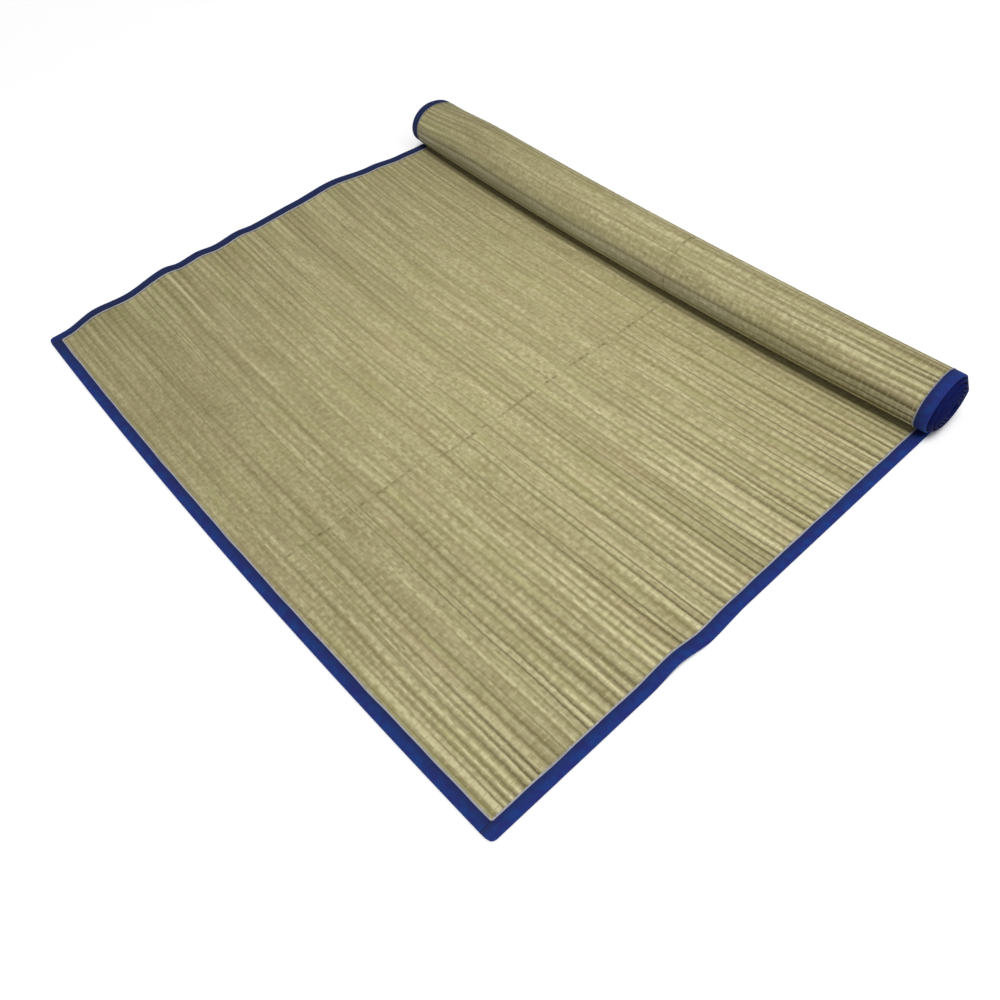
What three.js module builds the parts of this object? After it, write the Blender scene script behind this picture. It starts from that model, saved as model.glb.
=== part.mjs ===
// Straw beach mat with folded tape sewn round its edges.
// The near end lies flat and the far part is rolled up, so the roll lies at the back of the mat.
// Millimetres, +Z up. X runs across the mat, along its straws, and Y from the near end to the roll.
// The origin is the middle of the floor under the part.

import * as THREE from "three";

// The mat laid out flat.
const WIDTH = 903;
const LENGTH = 1800;
const STRAW_THICK = 2.4;
const MARGIN_THICK = 1.2;
const TAPE_THICK = 0.6;
const TAPE_FACE = 14.5;
const GAP = 0.3;
const CORNER_ROUND = 7;

// How it lies. The straws bow towards the near end, so each of these three lines is a shallow arc,
// given where it meets the left side, the middle and the right side.
const NEAR_EDGE = { left: 0, middle: -9.5, right: 0 };
const ROLL_LINE = { left: 669.5, middle: 658.5, right: 675.5 };
const ROLL_RADIUS = { left: 41, middle: 41.9, right: 40 };
const FLAT_LENGTH = 670;

// The winding. The outermost turn is slack: it runs on along the floor behind the roll, bends up and
// leans straight against the roll. From there the mat is wound in an even spiral, whose inner turns are
// pushed out of the right end. The left end is pressed flat and spreads to the back.
const TURN_PITCH = 4.5;
const SLACK_BEND = 15;
const LEAN_ANGLE = THREE.MathUtils.degToRad(125);
const STEPS_PER_TURN = 16;
const BEND_STEPS = 6;
const PUSHED_OUT = 6;
const PUSH_FROM_TURN = 0.8;
const PUSH_EASE_TURNS = 1.2;
const OVAL_FROM = -0.65;
const OVAL_DROP = 0.2;
const OVAL_BACK = 0.25;
const OVAL_FRONT = -0.06;

// The left side bulges out a little and ripples up from the floor: one row for each crest or trough.
const LEFT_BULGE = 6;
const LEFT_RIPPLE_REACH = 300;
const LEFT_RIPPLES = [
  { along: 22, lift: 0 },
  { along: 72, lift: 8.5 },
  { along: 116, lift: 5.5 },
  { along: 182, lift: 14 },
  { along: 206, lift: 10 },
  { along: 235, lift: 12 },
  { along: 265, lift: 8.5 },
  { along: 303, lift: 11.5 },
  { along: 330, lift: 9 },
  { along: 400, lift: 11 },
  { along: 468, lift: 15 },
  { along: 545, lift: 7 },
  { along: 600, lift: 1.5 },
  { along: 640, lift: 0 },
];
const RIGHT_RIPPLE_REACH = 120;
const RIGHT_RIPPLES = [
  { along: 205, lift: 0 },
  { along: 246, lift: 5 },
  { along: 288, lift: 0 },
];

// Distances from the left side at which the straw panel is divided across its width.
const PANEL_DIVISIONS = [80, 180, 320, 560, 780];

const STRAW_COLOUR = 0xb0a678;
const TAPE_COLOUR = 0x24408e;

// Sizes that follow from those above.
const HALF = WIDTH / 2;
const FULL_TURN = 2 * Math.PI;
const MARGIN_BASE = TAPE_THICK + GAP;
const MARGIN_TOP = MARGIN_BASE + MARGIN_THICK;
const STACK_TOP = MARGIN_TOP + GAP + TAPE_THICK;
const MARGIN_END = TAPE_FACE + GAP;
const MARGIN_STEP = 0.5;
const BODY_START = MARGIN_END + MARGIN_STEP;

// A shallow arc through its left, middle and right values, with u from -1 at the left to 1 at the right.
function arcValue({ left, middle, right }, u) {
  const lean = (right - left) / 2;
  const bow = (right + left) / 2 - middle;
  return middle + lean * u + bow * u * u;
}

// The height of a rippled side, eased from each crest to the next trough.
function rippleLift(rows, along) {
  const next = rows.findIndex((row) => row.along > along);
  if (next <= 0) {
    return 0;
  }
  const from = rows[next - 1];
  const to = rows[next];
  const share = THREE.MathUtils.smoothstep(along, from.along, to.along);
  return from.lift + (to.lift - from.lift) * share;
}

// The straight stretches of the slack turn, for a roll of the given radius: along the floor behind the
// roll, and up to where it meets the roll again.
function slackTurn(radius) {
  const spare = radius - (TURN_PITCH * LEAN_ANGLE) / FULL_TURN - SLACK_BEND;
  const lean = (radius - SLACK_BEND - spare * Math.cos(LEAN_ANGLE)) / Math.sin(LEAN_ANGLE);
  const floor = spare * Math.sin(LEAN_ANGLE) - lean * Math.cos(LEAN_ANGLE);
  return { floor, lean };
}

// Lengths along the mat at which the slack turn bends up, leans straight and goes over into the spiral.
const SLACK = slackTurn(ROLL_RADIUS.middle);
const BEND_START = FLAT_LENGTH + SLACK.floor;
const LEAN_START = BEND_START + (SLACK_BEND - STRAW_THICK / 2) * LEAN_ANGLE;
const SPIRAL_START = LEAN_START + SLACK.lean;
const SPIRAL_RADIUS = ROLL_RADIUS.middle - STRAW_THICK / 2 - (TURN_PITCH * LEAN_ANGLE) / FULL_TURN;

// How much of a stretch has been passed, from 0 to 1.
function shareOf(along, start, end) {
  return THREE.MathUtils.clamp((along - start) / (end - start), 0, 1);
}

// The angle turned from lying flat, at a length along the mat, and the length at an angle of the spiral.
function windingAngle(along) {
  const wound = Math.max(0, along - SPIRAL_START);
  const radius = Math.sqrt(SPIRAL_RADIUS ** 2 - (wound * TURN_PITCH) / Math.PI);
  const bent = LEAN_ANGLE * shareOf(along, BEND_START, LEAN_START);
  return bent + (FULL_TURN * (SPIRAL_RADIUS - radius)) / TURN_PITCH;
}

function lengthAtAngle(angle) {
  const radius = SPIRAL_RADIUS - (TURN_PITCH * (angle - LEAN_ANGLE)) / FULL_TURN;
  return SPIRAL_START + (Math.PI * (SPIRAL_RADIUS ** 2 - radius ** 2)) / TURN_PITCH;
}

// Where the underside lies in a section of the roll: how far back, and how high.
function rolledSection(along, angle, radius) {
  if (along > SPIRAL_START) {
    const outer = radius - (TURN_PITCH * angle) / FULL_TURN;
    return { backward: outer * Math.sin(angle), upward: radius - outer * Math.cos(angle) };
  }
  const slack = slackTurn(radius);
  const onFloor = slack.floor * shareOf(along, FLAT_LENGTH, BEND_START);
  const onLean = slack.lean * shareOf(along, LEAN_START, SPIRAL_START);
  return {
    backward: onFloor + SLACK_BEND * Math.sin(angle) + onLean * Math.cos(angle),
    upward: SLACK_BEND * (1 - Math.cos(angle)) + onLean * Math.sin(angle),
  };
}

// How far the rounded near corners draw the outer edge of the side tape in.
function cornerInset(along, fromSide) {
  if (along >= CORNER_ROUND || fromSide >= TAPE_FACE) {
    return 0;
  }
  const reach = CORNER_ROUND - along;
  const inset = CORNER_ROUND - Math.sqrt(CORNER_ROUND ** 2 - reach ** 2);
  return inset * (1 - fromSide / TAPE_FACE);
}

// A point of the laid mat from its place on the flat one: the length from the near end, the place
// across the width from the middle, and the height above the underside.
function matPoint(along, across, height) {
  const u = across / HALF;
  const flatShare = Math.min(along / FLAT_LENGTH, 1);
  const angle = windingAngle(along);
  const turns = angle / FULL_TURN;

  const fromLeft = HALF + across;
  const fromRight = HALF - across;
  const bulge = LEFT_BULGE * Math.sin(Math.PI * flatShare) * ((1 - u) / 2);
  const pushTurns = Math.max(0, turns - PUSH_FROM_TURN);
  const pushed = PUSHED_OUT * (1 - Math.exp(-pushTurns / PUSH_EASE_TURNS));
  const inset = cornerInset(along, fromLeft) - cornerInset(along, fromRight);

  const leftFade = Math.max(0, 1 - fromLeft / LEFT_RIPPLE_REACH) ** 2;
  const rightFade = Math.max(0, 1 - fromRight / RIGHT_RIPPLE_REACH) ** 2;
  const lift = rippleLift(LEFT_RIPPLES, along) * leftFade + rippleLift(RIGHT_RIPPLES, along) * rightFade;

  const nearY = arcValue(NEAR_EDGE, u);
  const centreY = nearY + (arcValue(ROLL_LINE, u) - nearY) * flatShare;
  const { backward, upward } = rolledSection(along, angle, arcValue(ROLL_RADIUS, u));
  const oval = 1 - THREE.MathUtils.smoothstep(u, -1, OVAL_FROM);
  const spread = 1 + oval * (backward > 0 ? OVAL_BACK : OVAL_FRONT);
  return new THREE.Vector3(
    across - bulge + pushed + inset,
    centreY + backward * spread - height * Math.sin(angle),
    lift + upward * (1 - OVAL_DROP * oval) + height * Math.cos(angle),
  );
}

// The lengths at which every piece is divided, so that the pieces bend together.
function divideLength() {
  const edges = [0, MARGIN_BASE, CORNER_ROUND / 2, CORNER_ROUND, TAPE_FACE, MARGIN_END, BODY_START];
  const fixed = [...edges, ...edges.map((edge) => LENGTH - edge), FLAT_LENGTH];
  const bends = [];
  for (let step = 0; step <= BEND_STEPS; step += 1) {
    bends.push(BEND_START + ((LEAN_START - BEND_START) * step) / BEND_STEPS);
  }
  LEFT_RIPPLES.forEach((row, i) => {
    const before = i > 0 ? LEFT_RIPPLES[i - 1].along : row.along;
    bends.push((before + row.along) / 2, row.along);
  });
  const angleStep = FULL_TURN / STEPS_PER_TURN;
  for (let angle = LEAN_ANGLE; angle < windingAngle(LENGTH); angle += angleStep) {
    bends.push(lengthAtAngle(angle));
  }
  const apart = (bend) => fixed.every((length) => Math.abs(length - bend) > 1);
  return [...new Set([...fixed, ...bends.filter(apart)])].sort((a, b) => a - b);
}

const LENGTH_DIVISIONS = divideLength();

// A box divided along two of its sides, with each of its points moved to where place() says.
function bentBox(divisionsA, divisionsB, place) {
  const countA = divisionsA.length - 1;
  const countB = divisionsB.length - 1;
  const geometry = new THREE.BoxGeometry(1, 1, 1, countA, countB, 1);
  const spots = geometry.getAttribute("position");
  for (let i = 0; i < spots.count; i += 1) {
    const a = divisionsA[Math.round((spots.getX(i) + 0.5) * countA)];
    const b = divisionsB[Math.round((spots.getY(i) + 0.5) * countB)];
    const point = place(a, b, spots.getZ(i) > 0);
    spots.setXYZ(i, point.x, point.y, point.z);
  }
  geometry.computeVertexNormals();
  return geometry;
}

// The straw panel, with thin margins where the tape is folded over it.
function strawPanel() {
  const across = [MARGIN_BASE, MARGIN_END, BODY_START]
    .concat(PANEL_DIVISIONS)
    .concat([BODY_START, MARGIN_END, MARGIN_BASE].map((edge) => WIDTH - edge));
  const along = LENGTH_DIVISIONS.filter((s) => s >= MARGIN_BASE && s <= LENGTH - MARGIN_BASE);
  return bentBox(across, along, (fromLeft, s, upper) => {
    const fromEdge = Math.min(fromLeft, WIDTH - fromLeft, s, LENGTH - s);
    const isMargin = fromEdge < BODY_START - MARGIN_STEP / 2;
    const base = isMargin ? MARGIN_BASE : 0;
    const top = isMargin ? MARGIN_TOP : STRAW_THICK;
    return matPoint(s, fromLeft - HALF, upper ? top : base);
  });
}

// The tape's way round an edge: in along the underside, round the edge and back along the top.
// legs holds distances from the edge, ending with 0.
function tapeFold(legs) {
  const under = legs.map((d) => ({
    outer: { d, height: 0 },
    inner: { d: Math.max(d, TAPE_THICK), height: TAPE_THICK },
  }));
  const above = legs.map((d) => ({
    outer: { d, height: STACK_TOP },
    inner: { d: Math.max(d, TAPE_THICK), height: STACK_TOP - TAPE_THICK },
  }));
  return [...under, ...above.reverse()];
}

const PLAIN_FOLD = tapeFold([TAPE_FACE, 0]);

function leftTape() {
  return bentBox([...PLAIN_FOLD].reverse(), LENGTH_DIVISIONS, (row, s, upper) => {
    const { d, height } = upper ? row.inner : row.outer;
    return matPoint(s, d - HALF, height);
  });
}

function rightTape() {
  return bentBox(PLAIN_FOLD, LENGTH_DIVISIONS, (row, s, upper) => {
    const { d, height } = upper ? row.inner : row.outer;
    return matPoint(s, HALF - d, height);
  });
}

// The end tapes run between the side tapes.
const END_TAPE_ACROSS = [MARGIN_END, ...PANEL_DIVISIONS, WIDTH - MARGIN_END];

function nearTape() {
  return bentBox(END_TAPE_ACROSS, [...PLAIN_FOLD].reverse(), (fromLeft, row, upper) => {
    const { d, height } = upper ? row.inner : row.outer;
    return matPoint(d, fromLeft - HALF, height);
  });
}

function rolledEndTape() {
  const legs = LENGTH_DIVISIONS.map((s) => LENGTH - s).filter((d) => d <= TAPE_FACE);
  return bentBox(END_TAPE_ACROSS, tapeFold(legs), (fromLeft, row, upper) => {
    const { d, height } = upper ? row.inner : row.outer;
    return matPoint(LENGTH - d, fromLeft - HALF, height);
  });
}

function named(name, geometry, material) {
  const mesh = new THREE.Mesh(geometry, material);
  mesh.name = name;
  return mesh;
}

const straw = new THREE.MeshStandardMaterial({ color: STRAW_COLOUR, roughness: 0.8, metalness: 0 });
const tape = new THREE.MeshStandardMaterial({ color: TAPE_COLOUR, roughness: 0.9, metalness: 0 });

const mat = new THREE.Group();
mat.add(named("straw_panel", strawPanel(), straw));
mat.add(named("tape_left", leftTape(), tape.clone()));
mat.add(named("tape_right", rightTape(), tape.clone()));
mat.add(named("tape_near_end", nearTape(), tape.clone()));
mat.add(named("tape_rolled_end", rolledEndTape(), tape.clone()));

// Stand the middle of the part's footprint on the origin.
const extent = new THREE.Box3().setFromObject(mat);
const middle = extent.getCenter(new THREE.Vector3());
mat.position.set(-middle.x, -middle.y, -extent.min.z);

export default mat;
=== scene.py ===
import math

import bmesh
import bpy
import numpy as np
from mathutils import Matrix, Vector


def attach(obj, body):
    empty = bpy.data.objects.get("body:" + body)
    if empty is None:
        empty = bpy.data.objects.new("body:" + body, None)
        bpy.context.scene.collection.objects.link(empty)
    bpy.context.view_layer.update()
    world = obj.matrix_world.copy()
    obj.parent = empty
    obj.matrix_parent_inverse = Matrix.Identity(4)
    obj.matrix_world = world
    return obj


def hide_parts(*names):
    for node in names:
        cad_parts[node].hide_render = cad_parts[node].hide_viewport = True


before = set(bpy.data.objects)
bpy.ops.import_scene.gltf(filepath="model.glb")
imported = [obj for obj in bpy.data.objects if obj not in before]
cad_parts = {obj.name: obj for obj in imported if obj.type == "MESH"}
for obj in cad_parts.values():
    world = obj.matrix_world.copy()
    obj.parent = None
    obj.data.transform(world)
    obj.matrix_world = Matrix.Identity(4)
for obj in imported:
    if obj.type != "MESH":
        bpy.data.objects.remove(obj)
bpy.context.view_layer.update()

bl_info = {
    "name": "Straw Beach Mat",
    "version": (1, 0, 0),
    "blender": (4, 5, 0),
    "location": "View3D > Sidebar > Mat",
    "description": "Makes a half rolled straw mat with taped edges, straw by straw",
    "category": "Add Mesh",
}

BODY = "root"
WELD = 1e-6
FULL_TURN = 2 * math.pi

# The mat's lie, in metres, as in the solids, but that the roll's inner turns are pushed out a little further.
# Lines across the mat are given at the left, middle and right. The part's origin is given across the mat from
# its middle, and along it from the near end.
ORIGIN = (0.0, 0.36961)
NEAR_EDGE = (0.0, -0.0095, 0.0)
ROLL_LINE = (0.6695, 0.6585, 0.6755)
ROLL_RADIUS = (0.0410, 0.0419, 0.0400)
FLAT_LENGTH = 0.67
TURN_PITCH = 0.0045
SLACK_BEND = 0.015
LEAN_ANGLE = math.radians(125)
PUSHED_OUT = 0.0095
PUSH_FROM_TURN = 0.8
PUSH_EASE_TURNS = 1.2
OVAL_FROM = -0.65
OVAL_DROP = 0.2
OVAL_BACK = 0.25
OVAL_FRONT = -0.06
CORNER_ROUND = 0.007
LEFT_BULGE = 0.006

# Ripples of the two long sides: the length along the mat and the lift of each crest or trough.
LEFT_RIPPLE_REACH = 0.3
LEFT_RIPPLES = (
    (0.022, 0.0),
    (0.072, 0.0085),
    (0.116, 0.0055),
    (0.182, 0.014),
    (0.206, 0.010),
    (0.235, 0.012),
    (0.265, 0.0085),
    (0.303, 0.0115),
    (0.330, 0.009),
    (0.400, 0.011),
    (0.468, 0.015),
    (0.545, 0.007),
    (0.600, 0.0015),
    (0.640, 0.0),
)
RIGHT_RIPPLE_REACH = 0.12
RIGHT_RIPPLES = ((0.205, 0.0), (0.246, 0.005), (0.288, 0.0))

# Where the right side lies further in or out: the length along the mat and how far out.
RIGHT_SWAYS = ((0.195, 0.0), (0.236, -0.0012), (0.282, 0.0024), (0.340, 0.0))

# The stack at a taped edge, from the underside up.
STRAW_THICK = 0.0024
TAPE_THICK = 0.0006
MARGIN_BASE = 0.0009
MARGIN_TOP = 0.0021
STACK_TOP = 0.003
STACK_MIDDLE = STACK_TOP / 2


def colour(code):
    """A hex colour as the linear red, green and blue that shaders take."""
    parts = [int(code[i : i + 2], 16) / 255 for i in (0, 2, 4)]
    return tuple(p / 12.92 if p <= 0.04045 else ((p + 0.055) / 1.055) ** 2.4 for p in parts)


class MatSizes(bpy.types.PropertyGroup):
    """The flat mat's sizes."""

    width: bpy.props.FloatProperty(
        name="Width", description="Width of the mat over its tapes", default=0.903, unit="LENGTH"
    )
    length: bpy.props.FloatProperty(
        name="Length", description="Length of the mat laid out flat", default=1.8, unit="LENGTH"
    )
    tape_face: bpy.props.FloatProperty(
        name="Tape", description="Width of tape that shows on each face", default=0.0145, unit="LENGTH"
    )
    thread_spacing: bpy.props.FloatProperty(
        name="Thread spacing", description="Distance between binding threads", default=0.0077, unit="LENGTH"
    )
    bundle: bpy.props.FloatProperty(
        name="Bundle", description="Usual width of straws bound together", default=0.0098, unit="LENGTH"
    )
    stitch_pitch: bpy.props.FloatProperty(
        name="Stitch pitch", description="Distance from one stitch to the next", default=0.0042, unit="LENGTH"
    )


class MatColours(bpy.types.PropertyGroup):
    """The mat's colours."""

    straw: bpy.props.FloatVectorProperty(
        name="Straw",
        description="Usual colour of a straw",
        subtype="COLOR",
        default=colour("a9a076"),
    )
    straw_pale: bpy.props.FloatVectorProperty(
        name="Pale straw",
        description="Colour of the palest straws",
        subtype="COLOR",
        default=colour("d2ca9d"),
    )
    straw_deep: bpy.props.FloatVectorProperty(
        name="Deep straw",
        description="Colour of the darkest straws",
        subtype="COLOR",
        default=colour("8e8458"),
    )
    straw_green: bpy.props.FloatVectorProperty(
        name="Green straw",
        description="Colour of straws cut green",
        subtype="COLOR",
        default=colour("a5a468"),
    )
    straw_red: bpy.props.FloatVectorProperty(
        name="Reddish straw",
        description="Colour of weathered straws",
        subtype="COLOR",
        default=colour("b79f7c"),
    )
    # Painted shade: straws darken towards this colour in the dips and gaps between them.
    gap: bpy.props.FloatVectorProperty(
        name="Gap",
        description="Colour deep between two straws",
        subtype="COLOR",
        default=colour("554c2b"),
    )
    tape: bpy.props.FloatVectorProperty(
        name="Tape",
        description="Colour of the binding tape",
        subtype="COLOR",
        default=colour("1b3f86"),
    )
    tape_deep: bpy.props.FloatVectorProperty(
        name="Deep tape",
        description="Colour of the tape in its hollows",
        subtype="COLOR",
        default=colour("242f76"),
    )
    # Painted shade: the left tape and the left of the ends darken towards this colour, and the ends as a whole
    # a little.
    tape_dark: bpy.props.FloatVectorProperty(
        name="Dark tape",
        description="Colour of the darker left tape",
        subtype="COLOR",
        default=colour("1f2438"),
    )
    tape_shade: bpy.props.FloatVectorProperty(
        name="Shaded tape",
        description="Colour of the tape's seam",
        subtype="COLOR",
        default=colour("22264a"),
    )
    stitch: bpy.props.FloatVectorProperty(
        name="Stitches",
        description="Colour of the sewing thread",
        subtype="COLOR",
        default=colour("b4b4ba"),
    )
    thread: bpy.props.FloatVectorProperty(
        name="Threads",
        description="Colour of the binding threads",
        subtype="COLOR",
        default=colour("b3a87c"),
    )


def smooth_step(value, low, high):
    """0 up to low, 1 from high on, and eased between them."""
    share = np.clip((value - low) / (high - low), 0, 1)
    return share * share * (3 - 2 * share)


def waver(value, seed, wavelengths):
    """Gentle noise from -1 to 1 along a line: a few waves of the given lengths, out of step."""
    draw = np.random.default_rng(seed)
    waves = [np.sin(FULL_TURN * (value / size + draw.random())) for size in wavelengths]
    return sum(waves) / len(waves)


def arc_value(line, u):
    """A line's value at u, from -1 at the left side to 1 at the right, on the arc through its three values."""
    left, middle, right = line
    return middle + (right - left) / 2 * u + ((right + left) / 2 - middle) * u * u


def eased_value(rows, along):
    """The lift or sway of a side at a length along the mat, eased from each crest to the next trough."""
    stops = np.array([row[0] for row in rows])
    values = np.array([row[1] for row in rows])
    after = np.clip(np.searchsorted(stops, along), 1, len(rows) - 1)
    share = smooth_step(along, stops[after - 1], stops[after])
    return values[after - 1] + (values[after] - values[after - 1]) * share


def slack_turn(radius):
    """The straight stretches of the slack outer turn, for a roll of the given radius: along the floor
    behind the roll, and up to where it meets the roll again."""
    spare = radius - TURN_PITCH * LEAN_ANGLE / FULL_TURN - SLACK_BEND
    lean = (radius - SLACK_BEND - spare * math.cos(LEAN_ANGLE)) / math.sin(LEAN_ANGLE)
    return spare * math.sin(LEAN_ANGLE) - lean * math.cos(LEAN_ANGLE), lean


# Lengths along the mat at which the slack turn bends up, leans straight and goes over into the spiral.
SLACK_FLOOR, SLACK_LEAN = slack_turn(ROLL_RADIUS[1])
BEND_START = FLAT_LENGTH + SLACK_FLOOR
LEAN_START = BEND_START + (SLACK_BEND - STRAW_THICK / 2) * LEAN_ANGLE
SPIRAL_START = LEAN_START + SLACK_LEAN
SPIRAL_RADIUS = ROLL_RADIUS[1] - STRAW_THICK / 2 - TURN_PITCH * LEAN_ANGLE / FULL_TURN


def winding_angle(along):
    """The angle turned from lying flat at a length along the mat."""
    bent = LEAN_ANGLE * np.clip((along - BEND_START) / (LEAN_START - BEND_START), 0, 1)
    wound = np.maximum(0, along - SPIRAL_START)
    radius = np.sqrt(np.maximum(0, SPIRAL_RADIUS**2 - wound * TURN_PITCH / math.pi))
    return bent + FULL_TURN * (SPIRAL_RADIUS - radius) / TURN_PITCH


def length_at_angle(angle):
    """The length along the mat at which it has turned by an angle."""
    bent = np.clip(angle / LEAN_ANGLE, 0, 1)
    wound = np.maximum(0, angle - LEAN_ANGLE)
    radius = SPIRAL_RADIUS - TURN_PITCH * wound / FULL_TURN
    spiral = math.pi * (SPIRAL_RADIUS**2 - radius**2) / TURN_PITCH
    return BEND_START + (LEAN_START - BEND_START) * bent + SLACK_LEAN * (bent >= 1) + spiral


def rolled_section(along, angle, radius):
    """Where the underside lies in a section of the roll: how far back, and how high."""
    floor, lean = slack_turn(radius)
    on_floor = floor * np.clip((along - FLAT_LENGTH) / SLACK_FLOOR, 0, 1)
    on_lean = lean * np.clip((along - LEAN_START) / SLACK_LEAN, 0, 1)
    slack_back = on_floor + SLACK_BEND * np.sin(angle) + on_lean * np.cos(angle)
    slack_up = SLACK_BEND * (1 - np.cos(angle)) + on_lean * np.sin(angle)
    outer = radius - TURN_PITCH * angle / FULL_TURN
    wound = along > SPIRAL_START
    backward = np.where(wound, outer * np.sin(angle), slack_back)
    upward = np.where(wound, radius - outer * np.cos(angle), slack_up)
    return backward, upward


def corner_inset(along, from_side, tape_face):
    """How far the rounded near corners draw the outer edge of the side tape in."""
    reach = np.clip(CORNER_ROUND - along, 0, CORNER_ROUND)
    inset = CORNER_ROUND - np.sqrt(CORNER_ROUND**2 - reach**2)
    return inset * np.clip(1 - from_side / tape_face, 0, 1)


def mat_point(sizes, along, across, height):
    """Points of the laid mat from places on the flat one: the length from the near end, the place across
    the width from the middle, and the height above the underside."""
    half = sizes.width / 2
    u = across / half
    flat_share = np.minimum(along / FLAT_LENGTH, 1)
    angle = winding_angle(along)
    turns = angle / FULL_TURN

    bulge = LEFT_BULGE * np.sin(math.pi * flat_share) * (1 - u) / 2
    push_turns = np.maximum(0, turns - PUSH_FROM_TURN)
    pushed = PUSHED_OUT * (1 - np.exp(-push_turns / PUSH_EASE_TURNS))
    left_inset = corner_inset(along, half + across, sizes.tape_face)
    right_inset = corner_inset(along, half - across, sizes.tape_face)

    left_fade = np.clip(1 - (half + across) / LEFT_RIPPLE_REACH, 0, 1) ** 2
    right_fade = np.clip(1 - (half - across) / RIGHT_RIPPLE_REACH, 0, 1) ** 2
    lift = eased_value(LEFT_RIPPLES, along) * left_fade + eased_value(RIGHT_RIPPLES, along) * right_fade

    near_y = arc_value(NEAR_EDGE, u)
    centre_y = near_y + (arc_value(ROLL_LINE, u) - near_y) * flat_share
    oval = 1 - smooth_step(u, -1, OVAL_FROM)
    backward, upward = rolled_section(along, angle, arc_value(ROLL_RADIUS, u))
    backward = backward * (1 + oval * np.where(backward > 0, OVAL_BACK, OVAL_FRONT))
    upward = upward * (1 - OVAL_DROP * oval)
    sway = eased_value(RIGHT_SWAYS, along) * right_fade
    x = across - bulge + pushed + left_inset - right_inset + sway - ORIGIN[0]
    y = centre_y + backward - height * np.sin(angle) - ORIGIN[1]
    z = lift + upward + height * np.cos(angle)
    return np.stack(np.broadcast_arrays(x, y, z), -1)


# How straws differ. A pair holds the least and the most.
STRAW_SEED = 11
STRAWS_IN_BUNDLE = 3
BUNDLE_WIDTHS = (0.7, 1.3)
BUNDLE_SLANT = 0.0009
STRAW_WIDTHS = (0.8, 1.2)
STRAW_DROPS = (0.1, 0.6)
CROWN_PLACES = (0.3, 0.7)

# The gaps between bundles and between the straws of one: how deep they are at the right side, and the
# length over which they close.
WIDE_GAPS = (0.35, 1.0)
WIDE_GAP_REACHES = (0.1, 0.42)
NARROW_GAPS = (0.05, 0.28)
NARROW_GAP_REACHES = (0.05, 0.3)
LEFT_GAP_REACH = 0.7
MIDDLE_RELIEF = 0.1
LEFT_RELIEF = 0.44
RELIEF_DEPTH = 0.0010

# The roundness of a bundle's back and of a straw, and how deep low straws and bundle edges lie.
BUNDLE_ROUND = 1.3
STRAW_ROUND = 1.6
LOW_STRAW_DEPTH = 0.5
BUNDLE_EDGE_DEPTH = 0.9

# How much of a straw's tone comes from its bundle, from the whole straw, from each half of it, and from painted
# shade where it lies low.
BUNDLE_TONE = 0.4
SHARED_TONE = 0.35
OWN_TONE = 0.3
PAINTED_LOW_SHADE = 0.8

# Where the straws' thin ends meet: the place across the mat, the stretch along it over which it shifts, how
# wide it is and how much of that is dark, how many bundles show it, and how dark they are.
JOIN_PLACE = 0.078
JOIN_SHIFT = 0.009
JOIN_SHIFT_FROM = 0.246
JOIN_SHIFT_LENGTH = 0.008
JOIN_REACH = 0.0024
JOIN_CORE = 0.5
JOINED_SHARE = 0.85
JOIN_DARKNESS = (0.2, 0.8)
JOIN_RIM = 0.2


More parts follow.
